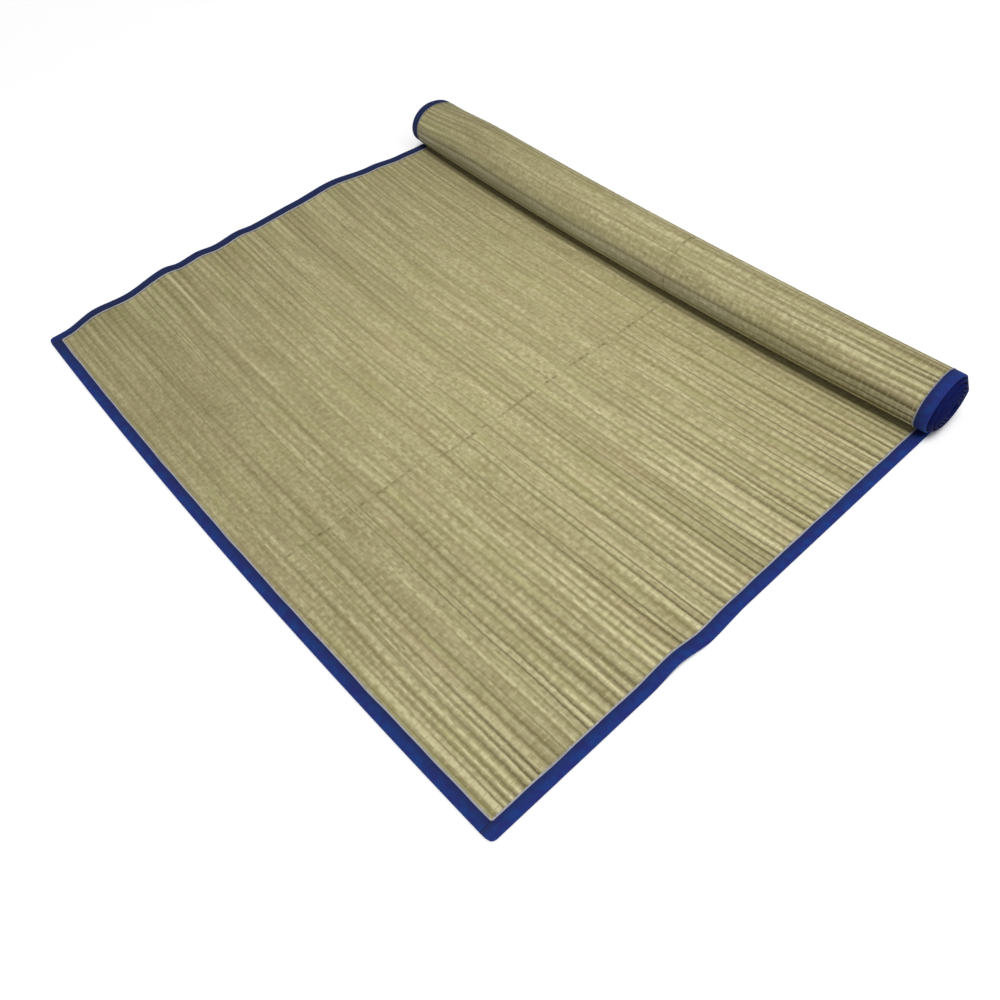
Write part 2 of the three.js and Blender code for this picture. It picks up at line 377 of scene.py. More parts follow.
class Straws:
    """Straws laid side by side in bundles of three. Each has its own width at either side of the mat, its
    own tone, and its own height. Their thick ends stand apart at the right side, and the gaps between them
    close towards the middle, each at its own rate."""

    def __init__(self, sizes):
        draw = np.random.default_rng(STRAW_SEED)
        first = MARGIN_BASE
        last = sizes.length - MARGIN_BASE
        self.half = sizes.width / 2
        bundles = round((last - first) / sizes.bundle)
        self.count = bundles * STRAWS_IN_BUNDLE
        stops = np.concatenate([[0], np.cumsum(draw.uniform(*BUNDLE_WIDTHS, bundles))])
        bounds = first + (last - first) * stops / stops[-1]
        self.edges = np.stack([self.draw_edges(draw, bounds), self.draw_edges(draw, bounds)])
        between = np.arange(self.count + 1) % STRAWS_IN_BUNDLE == 0
        wide = draw.uniform(*WIDE_GAPS, between.shape)
        narrow = draw.uniform(*NARROW_GAPS, between.shape)
        self.gap = np.where(between, wide, narrow)
        wide_reach = draw.uniform(*WIDE_GAP_REACHES, between.shape)
        narrow_reach = draw.uniform(*NARROW_GAP_REACHES, between.shape)
        self.reach = np.where(between, wide_reach, narrow_reach)
        proud = draw.integers(0, STRAWS_IN_BUNDLE, bundles)[:, None] == np.arange(STRAWS_IN_BUNDLE)
        self.drop = np.where(proud, 0.0, draw.uniform(*STRAW_DROPS, proud.shape)).ravel()
        shared_tone = draw.normal(0.0, 1.0, self.count)
        own_tone = draw.normal(0.0, 1.0, (2, self.count))
        self.crown = draw.uniform(*CROWN_PLACES, bundles)
        bundle_tone = np.repeat(draw.normal(0.0, 1.0, bundles), STRAWS_IN_BUNDLE)
        self.tone = BUNDLE_TONE * bundle_tone + SHARED_TONE * shared_tone + OWN_TONE * own_tone
        # Painted shade: straws that lie low are darker.
        self.tone = self.tone - PAINTED_LOW_SHADE * self.drop
        joined = (draw.random(bundles) < JOINED_SHARE) * draw.uniform(*JOIN_DARKNESS, bundles)
        self.join = np.repeat(joined, STRAWS_IN_BUNDLE)

    def draw_edges(self, draw, bounds):
        """Edges of the straws along one side, for bundles that lie between the given bounds."""
        shifted = bounds.copy()
        shifted[1:-1] += draw.uniform(-BUNDLE_SLANT, BUNDLE_SLANT, len(bounds) - 2)
        widths = draw.uniform(*STRAW_WIDTHS, (len(bounds) - 1, STRAWS_IN_BUNDLE))
        shares = np.cumsum(widths, 1) / widths.sum(1, keepdims=True)
        inside = shifted[:-1, None] + np.diff(shifted)[:, None] * shares
        return np.concatenate([shifted[:1], inside.ravel()])

    def along(self, straw, share, across):
        right = (across / self.half + 1) / 2
        edges = self.edges[0][[straw, straw + 1]] * (1 - right) + self.edges[1][[straw, straw + 1]] * right
        return edges[0] + share * (edges[1] - edges[0])

    def relief(self, edge, across):
        """How far the straws stand apart at an edge between two: 1 at the right side."""
        right = np.exp((across - self.half) / self.reach[edge])
        left = np.exp((-across - self.half) / (LEFT_GAP_REACH * self.reach[edge]))
        return np.clip(MIDDLE_RELIEF + (1 - MIDDLE_RELIEF) * right + LEFT_RELIEF * left, 0, 1)

    def from_crown(self, straw, share):
        """How far down a bundle's rounded back a place lies: 0 on its crown and 1 at its edges."""
        part = (straw % STRAWS_IN_BUNDLE + share) / STRAWS_IN_BUNDLE
        crown = self.crown[straw // STRAWS_IN_BUNDLE]
        return np.where(part < crown, (crown - part) / crown, (part - crown) / (1 - crown)) ** BUNDLE_ROUND

    def join_mark(self, straw, share):
        """How dark the meeting ends of a bundle are: most in the middle of the bundle."""
        part = (straw % STRAWS_IN_BUNDLE + share) / STRAWS_IN_BUNDLE
        return self.join[straw] * (JOIN_RIM + (1 - JOIN_RIM) * np.sin(math.pi * part) ** 3)

    def dip(self, straw, share, across):
        """Depth below the highest straws: 0 on top of a proud straw and 1 in the deepest gap."""
        edge = np.where(share < 0.5, straw, straw + 1)
        down = self.from_crown(straw, share)
        round_off = np.abs(2 * share - 1) ** STRAW_ROUND
        low = LOW_STRAW_DEPTH * self.drop[straw] * (1 - round_off) + self.gap[edge] * round_off
        first = straw - straw % STRAWS_IN_BUNDLE
        part = (straw % STRAWS_IN_BUNDLE + share) / STRAWS_IN_BUNDLE
        after = part > self.crown[straw // STRAWS_IN_BUNDLE]
        valley = BUNDLE_EDGE_DEPTH * down * self.gap[first + STRAWS_IN_BUNDLE * after]
        return np.maximum(low, valley) * self.relief(edge, across)


# How much painted shade darkens the straws on the roll, at the left side and at the near end, standing in for
# shade and the fall of light, and how much less the near end has at its right and left. Each has the stretch
# over which it changes.
PAINTED_ROLL_SHADE = 0.32
PAINTED_ROLL_SHADE_STRETCH = (FLAT_LENGTH + 0.03, FLAT_LENGTH + 0.09)
PAINTED_LEFT_SHADE = 0.82
PAINTED_LEFT_SHADE_STRETCH = (-0.05, 1.0)
PAINTED_NEAR_SHADE = 0.68
PAINTED_NEAR_SHADE_STRETCH = (0.05, 0.33)
LESS_AT_RIGHT = 0.8
LESS_AT_RIGHT_STRETCH = (0.2, 0.9)
LESS_AT_LEFT = 0.5
LESS_AT_LEFT_STRETCH = (0.1, 0.9)


def aged_share(along, u):
    """How much painted shade darkens the straws, standing in for the fall of light and for shade on the roll:
    most at the left, some at the near end and on the roll.
    """
    rolled = PAINTED_ROLL_SHADE * smooth_step(along, *PAINTED_ROLL_SHADE_STRETCH)
    left = PAINTED_LEFT_SHADE * smooth_step(-u, *PAINTED_LEFT_SHADE_STRETCH)
    near = PAINTED_NEAR_SHADE * (1 - smooth_step(along, *PAINTED_NEAR_SHADE_STRETCH))
    less_right = LESS_AT_RIGHT * smooth_step(u, *LESS_AT_RIGHT_STRETCH)
    less_left = LESS_AT_LEFT * smooth_step(-u, *LESS_AT_LEFT_STRETCH)
    return np.clip(left + near * (1 - less_right - less_left) + rolled, 0, 1)


# The turns of the roll over which the painted cool light on its shaded lower front comes on and fades, and how
# much less there is at the right end.
COOL_LIGHT_FROM = (0.66, 0.8)
COOL_LIGHT_TO = (0.98, 1.04)
LESS_COOL_LIGHT = 0.6
LESS_COOL_LIGHT_STRETCH = (0.2, 0.8)


def bleached_share(along, u):
    """How much painted cool light tints the shaded straws and lifts their blue: low on the front of the roll,
    less at its right end.
    """
    turns = winding_angle(along) / FULL_TURN
    front = smooth_step(turns, *COOL_LIGHT_FROM) * (1 - smooth_step(turns, *COOL_LIGHT_TO))
    return front * (1 - LESS_COOL_LIGHT * smooth_step(u, *LESS_COOL_LIGHT_STRETCH))


# How far straws wander from straight, over waves of these lengths that shift from straw to straw, and the
# stretch at either end of the mat over which they come straight.
SLOW_SWAY = 0.0014
SLOW_WAVES = (0.61, 0.37, 0.23)
SLOW_SHIFT = 0.35
SLOW_SEED = 5
QUICK_SWAY = 0.0006
QUICK_WAVES = (0.17, 0.11, 0.13)
QUICK_SHIFT = 2.1
QUICK_SEED = 6
STRAIGHT_ENDS = (0.015, 0.05)


def straw_sway(sizes, along, across):
    """How far the straws wander along the mat, because none is quite straight."""
    slow = SLOW_SWAY * waver(across + SLOW_SHIFT * along, SLOW_SEED, SLOW_WAVES)
    quick = QUICK_SWAY * waver(across + QUICK_SHIFT * along, QUICK_SEED, QUICK_WAVES)
    ends = smooth_step(along, *STRAIGHT_ENDS) * smooth_step(sizes.length - along, *STRAIGHT_ENDS)
    return (slow + quick) * ends


def give(mesh, attributes):
    """Give a mesh attributes with a value for each point, or one value for all."""
    for key, values in attributes.items():
        layer = mesh.attributes.new(key, "FLOAT", "POINT")
        layer.data.foreach_set("value", np.broadcast_to(values, len(mesh.vertices)).astype(np.float32))


def put(scene, data):
    """A new object in the scene, named after its data."""
    made = bpy.data.objects.new(data.name, data)
    scene.collection.objects.link(made)
    return made


def show(mesh):
    """A smooth piece of the mat in the scene, riding on the part's body."""
    mesh.shade_smooth()
    piece = put(bpy.context.scene, mesh)
    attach(piece, BODY)
    return piece


def wrapped_grid(name, rows, columns, place):
    """A closed skin from a grid: place() gives the point of each row and column, and the points that
    fall together along the grid's rims are welded."""
    mesh = bpy.data.meshes.new(name)
    bm = bmesh.new()
    bmesh.ops.create_grid(bm, x_segments=columns - 1, y_segments=rows - 1, size=0.5)
    bm.to_mesh(mesh)
    bm.free()
    flat = np.zeros(len(mesh.vertices) * 3)
    mesh.vertices.foreach_get("co", flat)
    flat = flat.reshape(-1, 3)
    column = np.rint((flat[:, 0] + 0.5) * (columns - 1)).astype(int)
    row = np.rint((flat[:, 1] + 0.5) * (rows - 1)).astype(int)
    points, attributes = place(row, column)
    mesh.vertices.foreach_set("co", points.astype(np.float32).ravel())
    give(mesh, attributes)
    bm = bmesh.new()
    bm.from_mesh(mesh)
    rims = [corner for corner in bm.verts if corner.is_boundary]
    bmesh.ops.remove_doubles(bm, verts=rims, dist=WELD)
    bm.to_mesh(mesh)
    bm.free()
    return show(mesh)


def joined_copies(name, points, faces, attributes):
    """Many copies of one small shape in one mesh: points holds the corners of each copy."""
    copies, corners = points.shape[:2]
    starts = np.arange(copies) * corners
    polygons = [tuple(start + np.array(face)) for start in starts for face in faces]
    mesh = bpy.data.meshes.new(name)
    mesh.from_pydata(points.reshape(-1, 3), [], polygons)
    give(mesh, {key: np.repeat(values, corners) for key, values in attributes.items()})
    return show(mesh)


def mend_facing(mesh):
    """Turn the faces of closed shapes outward."""
    bm = bmesh.new()
    bm.from_mesh(mesh)
    bmesh.ops.recalc_face_normals(bm, faces=bm.faces)
    bm.to_mesh(mesh)
    bm.free()


def add_node(tree, kind, values=None, **settings):
    """A shader node with its settings, and its inputs set to values or linked to sockets."""
    made = tree.nodes.new(kind)
    for key, value in settings.items():
        setattr(made, key, value)
    for key, value in (values or {}).items():
        if isinstance(value, bpy.types.NodeSocket):
            tree.links.new(value, made.inputs[key])
        else:
            made.inputs[key].default_value = value
    return made


def read_attribute(tree, name):
    return add_node(tree, "ShaderNodeAttribute", attribute_name=name).outputs["Fac"]


def opaque(value):
    """A colour with its alpha, or a socket as it is."""
    return value if isinstance(value, bpy.types.NodeSocket) else (*value, 1.0)


def mix_colours(tree, share, first, second, blend="MIX"):
    """A mix of two colours: inputs 6 and 7 are the colours of the node's colour mode."""
    values = {0: share, 6: opaque(first), 7: opaque(second)}
    return add_node(tree, "ShaderNodeMix", values, data_type="RGBA", blend_type=blend).outputs[2]


def ramp(tree, value, low, high):
    made = add_node(tree, "ShaderNodeMapRange", {"Value": value, "From Min": low, "From Max": high})
    return made.outputs["Result"]


def maths(tree, operation, first, second):
    return add_node(tree, "ShaderNodeMath", {0: first, 1: second}, operation=operation).outputs[0]


def times(tree, first, second):
    return maths(tree, "MULTIPLY", first, second)


def plus(tree, first, second):
    return maths(tree, "ADD", first, second)


# How much coarser than the grain its patches are drawn.
PATCH_SHARE = 0.09


def fibre_grain():
    """Shared effect: grain drawn out along fibres, and larger patches, from places on the flat mat."""
    group = bpy.data.node_groups.get("Fibre grain")
    if group:
        return group
    group = bpy.data.node_groups.new("Fibre grain", "ShaderNodeTree")
    for name, usual in (("Across", 0.0), ("Along", 0.0), ("Grain Across", 10.0), ("Grain Along", 400.0)):
        socket = group.interface.new_socket(name, in_out="INPUT", socket_type="NodeSocketFloat")
        socket.default_value = usual
    for name in ("Grain", "Patch"):
        group.interface.new_socket(name, in_out="OUTPUT", socket_type="NodeSocketFloat")
    given = group.nodes.new("NodeGroupInput").outputs
    result = group.nodes.new("NodeGroupOutput").inputs
    for name, share in (("Grain", 1.0), ("Patch", PATCH_SHARE)):
        across = times(group, given["Across"], given["Grain Across"])
        along = times(group, given["Along"], given["Grain Along"])
        place = add_node(
            group,
            "ShaderNodeCombineXYZ",
            {"X": times(group, across, share), "Y": times(group, along, share)},
        )
        noise = add_node(
            group,
            "ShaderNodeTexNoise",
            {"Vector": place.outputs[0], "Scale": 1.0, "Detail": 3.0, "Roughness": 0.6},
            noise_dimensions="2D",
        )
        group.links.new(noise.outputs["Fac"], result[name])
    return group


def grain_node(tree, lengthwise, grain_across, grain_along):
    """The shared grain. The attribute that it reads lengthwise is the place along the mat, or the number
    of each straw, so that every straw has a grain of its own."""
    values = {
        "Across": read_attribute(tree, "across"),
        "Along": read_attribute(tree, lengthwise),
        "Grain Across": grain_across,
        "Grain Along": grain_along,
    }
    return add_node(tree, "ShaderNodeGroup", values, node_tree=fibre_grain()).outputs


def new_material(name):
    material = bpy.data.materials.new(name)
    material.use_nodes = True
    tree = material.node_tree
    return material, tree, tree.nodes["Principled BSDF"]


def bump_into(tree, shader, height, distance):
    """Give a material relief: the height in its own units, and the distance that one of them comes to."""
    made = add_node(tree, "ShaderNodeBump", {"Height": height, "Distance": distance, "Strength": 1.0})
    tree.links.new(made.outputs["Normal"], shader.inputs["Normal"])


def scaled(tree, value, middle, factor):
    """A value's distance from its middle, times a factor."""
    return times(tree, maths(tree, "SUBTRACT", value, middle), factor)


# Painted shade, and painted cool light on the shaded front of the roll, as shares of the straw's colour.
PAINTED_SHADE_TINT = (0.72, 0.72, 0.69)
PAINTED_COOL_LIGHT_TINT = (1.1, 1.18, 1.65)

# Marks on straw: how fine they are across the mat, and along it or from straw to straw.
FINE_GRAIN = (70.0, 900.0)
LONG_STREAKS = (6.0, 640.0)
DABS = (130.0, 1.6)
BANDS = (8.0, 0.45)

# How much each mark lightens a straw: its tone, the fine grain, long streaks, dabs, bands, the places that
# threads hold, and the bundles that a thread goes over.
TONE_MARK = 0.26
GRAIN_MARK = 0.6
STREAK_MARK = 0.25
DAB_MARK = 0.8
BAND_MARK = 0.85
BOLD_DAB_MARK = 0.6
HELD_MARK = 0.12
HELD_USUAL = 0.375
OVER_MARK = 0.055

# How bold the marks of dabs and threads are in the middle, what they gain to a metre across the mat, and the
# patches in which threads show.
BOLD_MIDDLE = 0.6
BOLD_GAIN = 1.2
HELD_SHARPNESS = 4.0
HELD_PATCH = (0.3, 0.7)
HELD_GAIN = 1.8

# The patches that are green or reddish, and how much.
GREEN_PATCH = (0.55, 0.7)
GREEN_SHARE = 0.32
RED_PATCH = (0.45, 0.3)
RED_SHARE = 0.22

# The dips that turn dark with painted shade, how far dabs change them, and how dark the deepest are.
GAP_DIPS = (0.08, 0.9)
GAP_DAB = 0.5
GAP_SHADE = 0.92

# The relief of fibres in straw and tape, and how far straw sinks under a thread.
FIBRE_RELIEF = 0.0003
HELD_RELIEF = -0.12


def straw_material(colours, sizes):
    """Dry straw: each straw its own tone, changing along it and streaked, with a painted highlight on the
    crowns of bundles, painted shade between straws, on straws that lie low, on the roll and towards the left
    and the near end, and painted cool light on the roll's shaded front. Threads leave marks across it, which
    are bolder towards the right side."""
    material, tree, shader = new_material("Dry straw")
    across = read_attribute(tree, "across")
    grains = grain_node(tree, "along", *FINE_GRAIN)
    streaks = grain_node(tree, "along", *LONG_STREAKS)
    dabs = grain_node(tree, "straw", *DABS)
    bands = grain_node(tree, "straw", *BANDS)
    grain, patch = grains["Grain"], grains["Patch"]
    dab, cloud = dabs["Grain"], dabs["Patch"]
    turn = times(tree, across, math.pi / sizes.thread_spacing)
    turn = plus(tree, turn, read_attribute(tree, "phase"))
    over = maths(tree, "COSINE", turn, 0.0)
    lightness = plus(tree, times(tree, read_attribute(tree, "tone"), TONE_MARK), 0.5)
    marks = (
        (grain, GRAIN_MARK),
        (streaks["Grain"], STREAK_MARK),
        (dab, DAB_MARK),
        (bands["Grain"], BAND_MARK),
    )
    for mark, factor in marks:
        lightness = plus(tree, lightness, scaled(tree, mark, 0.5, factor))
    bold = plus(tree, times(tree, across, BOLD_GAIN), BOLD_MIDDLE)
    bold_dab = times(tree, scaled(tree, dab, 0.5, BOLD_DAB_MARK), bold)
    lightness = plus(tree, lightness, bold_dab)
    held = maths(tree, "POWER", maths(tree, "ABSOLUTE", over, 0.0), HELD_SHARPNESS)
    held = scaled(tree, held, HELD_USUAL, HELD_MARK)
    bound = plus(tree, held, times(tree, over, OVER_MARK))
    patchy = times(tree, ramp(tree, cloud, *HELD_PATCH), HELD_GAIN)
    bound = times(tree, bound, times(tree, bold, patchy))
    lightness = plus(tree, lightness, bound)
    body = mix_colours(tree, ramp(tree, lightness, 0.5, 0.0), colours.straw, colours.straw_deep)
    body = mix_colours(tree, ramp(tree, lightness, 0.5, 1.0), body, colours.straw_pale)
    green = times(tree, ramp(tree, patch, *GREEN_PATCH), GREEN_SHARE)
    body = mix_colours(tree, green, body, colours.straw_green)
    red = times(tree, ramp(tree, patch, *RED_PATCH), RED_SHARE)
    body = mix_colours(tree, red, body, colours.straw_red)
    # Painted shade for the fall of light and on the roll, then painted cool light on the roll's shaded front.
    body = mix_colours(tree, read_attribute(tree, "aged"), body, PAINTED_SHADE_TINT, "MULTIPLY")
    body = mix_colours(tree, read_attribute(tree, "bleached"), body, PAINTED_COOL_LIGHT_TINT, "MULTIPLY")
    # Painted shade in the dips and gaps between straws.
    deep = plus(tree, read_attribute(tree, "dip"), scaled(tree, dab, 0.5, GAP_DAB))
    shade = times(tree, ramp(tree, deep, *GAP_DIPS), GAP_SHADE)
    body = mix_colours(tree, shade, body, colours.gap)
    body = mix_colours(tree, read_attribute(tree, "join"), body, colours.gap)
    tree.links.new(body, shader.inputs["Base Color"])
    shader.inputs["Roughness"].default_value = 0.62
    shader.inputs["Specular IOR Level"].default_value = 0.3
    relief = plus(tree, plus(tree, grain, dab), times(tree, over, HELD_RELIEF))
    bump_into(tree, shader, relief, FIBRE_RELIEF)
    return material


# Painted shade on the tape of the inner turns, which see little light, as a share of its colour.
PAINTED_COIL_SHADE_TINT = (0.22, 0.22, 0.42)

# The tape's weave and how fine it is, its mottling, the shade along its seam, and its pale sewn edge.
TAPE_WEAVE = (900.0, 900.0)
WEAVE_GRAIN = (0.65, 0.2)
WEAVE_SHADE = 0.5
MOTTLE_PATCH = (0.38, 0.66)
SEAM_STRETCH = (0.35, 0.9)
SEAM_SHADE = 0.75
SEWN_EDGE = (0.92, 0.97)


def tape_material(colours):
    """Blue binding tape: a close plain weave, mottled, with painted shade along the seam and a pale sewn edge.
    """
    material, tree, shader = new_material("Blue binding tape")
    grains = grain_node(tree, "along", *TAPE_WEAVE)
    grain, patch = grains["Grain"], grains["Patch"]
    weave = times(tree, ramp(tree, grain, *WEAVE_GRAIN), WEAVE_SHADE)
    # Painted shade along the seam.
    seam = times(tree, ramp(tree, read_attribute(tree, "inward"), *SEAM_STRETCH), SEAM_SHADE)
    body = mix_colours(tree, ramp(tree, patch, *MOTTLE_PATCH), colours.tape_deep, colours.tape)
    body = mix_colours(tree, weave, body, colours.tape_shade)
    body = mix_colours(tree, seam, body, colours.tape_shade)
    # Painted shade on the left tape and the left of the ends.
    body = mix_colours(tree, read_attribute(tree, "dark"), body, colours.tape_dark)
    # Painted shade on the tape of the roll's inner coils.
    body = mix_colours(tree, read_attribute(tree, "wound"), body, PAINTED_COIL_SHADE_TINT, "MULTIPLY")
    edge = ramp(tree, read_attribute(tree, "selvedge"), *SEWN_EDGE)
    tree.links.new(mix_colours(tree, edge, body, colours.stitch), shader.inputs["Base Color"])
    shader.inputs["Roughness"].default_value = 0.85
    shader.inputs["Specular IOR Level"].default_value = 0.1
    bump_into(tree, shader, grain, FIBRE_RELIEF)
    return material


# The darkest thread as a share of its colour, and the tones over which it comes to the whole colour.
DARK_THREAD = 0.72
THREAD_TONES = (0.0, 0.9)


def thread_material(name, plain):
    """Fine spun thread, uneven in tone from stitch to stitch."""
    material, tree, shader = new_material(name)
    whole = ramp(tree, read_attribute(tree, "tone"), *THREAD_TONES)
    darker = tuple(DARK_THREAD * part for part in plain)
    tree.links.new(mix_colours(tree, whole, darker, plain), shader.inputs["Base Color"])
    shader.inputs["Roughness"].default_value = 0.85
    return material


# The straw skin's grid: rows in the width of a straw that shows, plain columns and the first one's distance
# from the tape, the columns at the join and how far other columns keep from it, and the columns at the tape.
ROW_SHARES = (0.0, 0.2, 0.5, 0.8)
SHOWN_TURNS = 1.04
PLAIN_COLUMNS = 22
FIRST_COLUMN = 0.03
JOIN_COLUMNS = (-1.0, -0.35, 0.35, 1.0)
JOIN_CLEARANCE = 0.016
TAPE_GAP = 0.0003
BODY_COLUMN = 0.0016
RIM_COLUMN = 0.003

# How far from the tape the straw comes to its whole thickness, and from its edge its rim closes.
BODY_RISE = 0.0015
RIM_CLOSE = 0.004

# How pale the painted highlight on a bundle's crown is and how far painted shade darkens its edges, and what
# the tones and painted shade of straws at the near end and the painted shade of gaps on the roll gain, with the
# stretches over which they do.
PAINTED_CROWN_HIGHLIGHT = 1.4
PAINTED_EDGE_SHADE = 2.4
NEAR_TONE = 0.25
NEAR_DIP = 0.2
NEAR_STRETCH = (0.08, 0.14)
ROLL_DIP = 0.3
ROLL_DIP_STRETCH = (FLAT_LENGTH, FLAT_LENGTH + 0.08)

# How far the join wanders across, over waves of these lengths, and how deep it is.
JOIN_WANDER = 0.0012
JOIN_WAVES = (0.21, 0.083)
JOIN_SEED = 7
JOIN_DEPTH = 0.0003


def straw_rows(straws):
    """Rows of the straw skin as straws and shares of their widths: several to a straw where straws show,
    and one to two straws inside the roll."""
    shown_end = length_at_angle(FULL_TURN * SHOWN_TURNS)
    rows = [(0, 0.0)]
    for straw, start in enumerate(straws.edges[0][:-1]):
        hidden = (0.5,) if straw % 2 else ()
        shares = ROW_SHARES if start < shown_end else hidden
        rows += [(straw, share) for share in shares]
    rows += [(straws.count - 1, 1.0), (straws.count - 1, 1.0)]
    straw, share = np.array(rows).T
    return straw.astype(int), share


class BEACH_MAT_OT_lay_straw(bpy.types.Operator):
    """Lay the straws side by side and roll up the far part"""

    bl_idname = "beach_mat.lay_straw"
    bl_label = "Lay Straw"

    def execute(self, context):
        sizes = context.scene.mat_sizes
        half = sizes.width / 2
        margin_end = sizes.tape_face + TAPE_GAP
        edge = half - MARGIN_BASE
        inner = half - margin_end
        rim_places = np.array([inner - BODY_COLUMN, inner, edge - RIM_COLUMN, edge])
        plain_places = np.linspace(FIRST_COLUMN - inner, inner - FIRST_COLUMN, PLAIN_COLUMNS)
        plain_places = plain_places[np.abs(plain_places - JOIN_PLACE) > JOIN_CLEARANCE]
        join_places = JOIN_PLACE + JOIN_REACH * np.array(JOIN_COLUMNS)
        top = np.sort(np.concatenate([-rim_places, plain_places, join_places, rim_places]))
        across = np.concatenate([top, top[-2::-1]])
        upper = np.arange(len(across)) < len(top)
        straws = Straws(sizes)
        row_straws, row_shares = straw_rows(straws)

        def place(row, column):
            straw = row_straws[row]
            x = across[column]
            s = straws.along(straw, row_shares[row], x)
            dip = straws.dip(straw, row_shares[row], x)
            from_join = x - JOIN_PLACE
            right = np.clip(0.5 + from_join / (2 * JOIN_REACH), 0, 1)
            tone = straws.tone[0, straw] * (1 - right) + straws.tone[1, straw] * right
            # Painted highlight on each bundle's crown, and painted shade down to its edges.
            tone = tone + PAINTED_CROWN_HIGHLIGHT - PAINTED_EDGE_SHADE * straws.from_crown(straw, row_shares[row])
            near = 1 - smooth_step(s, *NEAR_STRETCH)
            tone = tone * straws.relief(straw, x) * (1 + NEAR_TONE * near)
            at_join = np.abs(from_join) < JOIN_REACH + WELD
            join = (np.abs(from_join) < JOIN_CORE * JOIN_REACH) * straws.join_mark(straw, row_shares[row])
            shift = JOIN_SHIFT * smooth_step(s, JOIN_SHIFT_FROM, JOIN_SHIFT_FROM + JOIN_SHIFT_LENGTH)
            s = s + straw_sway(sizes, s, x)
            x = x + (shift + JOIN_WANDER * waver(s, JOIN_SEED, JOIN_WAVES)) * at_join
            from_edge = np.minimum(np.minimum(half - np.abs(x), s), sizes.length - s)
            depth = np.minimum(RELIEF_DEPTH * dip + JOIN_DEPTH * join, RELIEF_DEPTH)
            body = smooth_step(from_edge, margin_end, margin_end + BODY_RISE)
            rim = smooth_step(from_edge, MARGIN_BASE + WELD, RIM_CLOSE)
            high = MARGIN_TOP + (STRAW_THICK - depth - MARGIN_TOP) * body
            low = MARGIN_BASE + (depth - MARGIN_BASE) * body
            face = np.where(upper[column], high, low)
            height = STACK_MIDDLE + (face - STACK_MIDDLE) * rim
            points = mat_point(sizes, s, x, height)
            # The dip is also shown as painted shade, deeper on the roll and at the near end.
            rolled = smooth_step(s, *ROLL_DIP_STRETCH)
            shown_dip = dip * (1 + ROLL_DIP * rolled + NEAR_DIP * near)
            looks = {"dip": shown_dip, "tone": tone, "join": join}
            # Painted shade for the fall of light and on the roll, and painted cool light on its shaded front.
            looks.update(aged=aged_share(s, x / half), bleached=bleached_share(s, x / half))
            phase = thread_phase(sizes, straw // STRAWS_IN_BUNDLE)
            return points, {"along": s, "across": x, "straw": straw, "phase": phase, **looks}

        piece = wrapped_grid("straw_weave", len(row_straws), len(across), place)
        piece.data.materials.append(straw_material(context.scene.mat_colours, sizes))
        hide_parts("straw_panel")
        return {"FINISHED"}


def prism_faces(stations, sides):
    """Faces of a closed bar of the given number of stations, each a ring of corners."""
    faces = [tuple(reversed(range(sides)))]
    for ring in range(stations - 1):
        for side in range(sides):
            after = (side + 1) % sides
            low = ring * sides
            faces.append((low + side, low + after, low + sides + after, low + sides + side))
    faces.append(tuple((stations - 1) * sides + side for side in range(sides)))
    return faces


# The binding threads: half the width of one, how far its back stands above the straws and its sides lie
# below them, how far it wanders across, how far threads and arches keep from the tape, and where those above
# end. An arch of thread has four stations, each with a place in its straw's width and a share of its dip.
THREAD_HALF_WIDTH = 0.0004
THREAD_RAISE = 0.00015
THREAD_SINK = 0.0001
THREAD_WANDER = 0.0005
THREAD_FROM_TAPE = 0.005
ARCH_FROM_TAPE = 0.002
ARCHES_END = FLAT_LENGTH - 0.012
ABOVE_SEED = 21
UNDER_SEED = 22
ARCH_PLACES = (0.02, 0.6, 0.4, 0.98)
ARCH_DIPS = (0.7, 0.1, 0.1, 0.7)


def thread_lines(sizes):
    """Places across the mat of the binding threads."""
    reach = sizes.width / 2 - sizes.tape_face - THREAD_FROM_TAPE
    count = int(2 * reach / sizes.thread_spacing)
    return (np.arange(count + 1) - count / 2) * sizes.thread_spacing


def thread_phase(sizes, bundle):
    """The angle that, with half a turn for each thread, comes to whole turns where a thread goes over."""
    count = len(thread_lines(sizes)) - 1
    return math.pi * (count / 2 % 2 + bundle % 2)


def thread_arches(sizes, straws, upper, last, seed):
    """Short arches of thread: each thread goes over every other bundle, and its neighbours over the rest."""
    draw = np.random.default_rng(seed)
    lines = thread_lines(sizes)
    bundles = np.arange(straws.count // STRAWS_IN_BUNDLE)
    places = straws.edges[0][bundles * STRAWS_IN_BUNDLE]
    chosen = bundles[(places > sizes.tape_face + ARCH_FROM_TAPE) & (places < last)]
    line, bundle = [grid.ravel() for grid in np.meshgrid(np.arange(len(lines)), chosen)]
    over = (line + bundle) % 2 == (0 if upper else 1)
    line, bundle = line[over], bundle[over]
    x = (lines[line] + draw.uniform(-THREAD_WANDER, THREAD_WANDER, len(line)))[:, None]
    last_straw = STRAWS_IN_BUNDLE - 1
    straw = bundle[:, None] * STRAWS_IN_BUNDLE + np.array([0, 0, last_straw, last_straw])
    share = np.broadcast_to(np.array(ARCH_PLACES), straw.shape)
    across = np.broadcast_to(x, straw.shape)
    s = straws.along(straw, share, across)
    s = s + straw_sway(sizes, s, across)
    depth = RELIEF_DEPTH * straws.dip(straw, share, across) * np.array(ARCH_DIPS)
    surface = STRAW_THICK - depth if upper else depth
    outward = 1 if upper else -1
    corners = []
    for side, raised in ((1, -THREAD_SINK), (0, THREAD_RAISE), (-1, -THREAD_SINK)):
        offset = across + side * outward * THREAD_HALF_WIDTH
        corners.append(mat_point(sizes, s, offset, surface + outward * raised))
    points = np.stack(corners, 2).reshape(len(line), -1, 3)
    return points, draw.random(len(line))


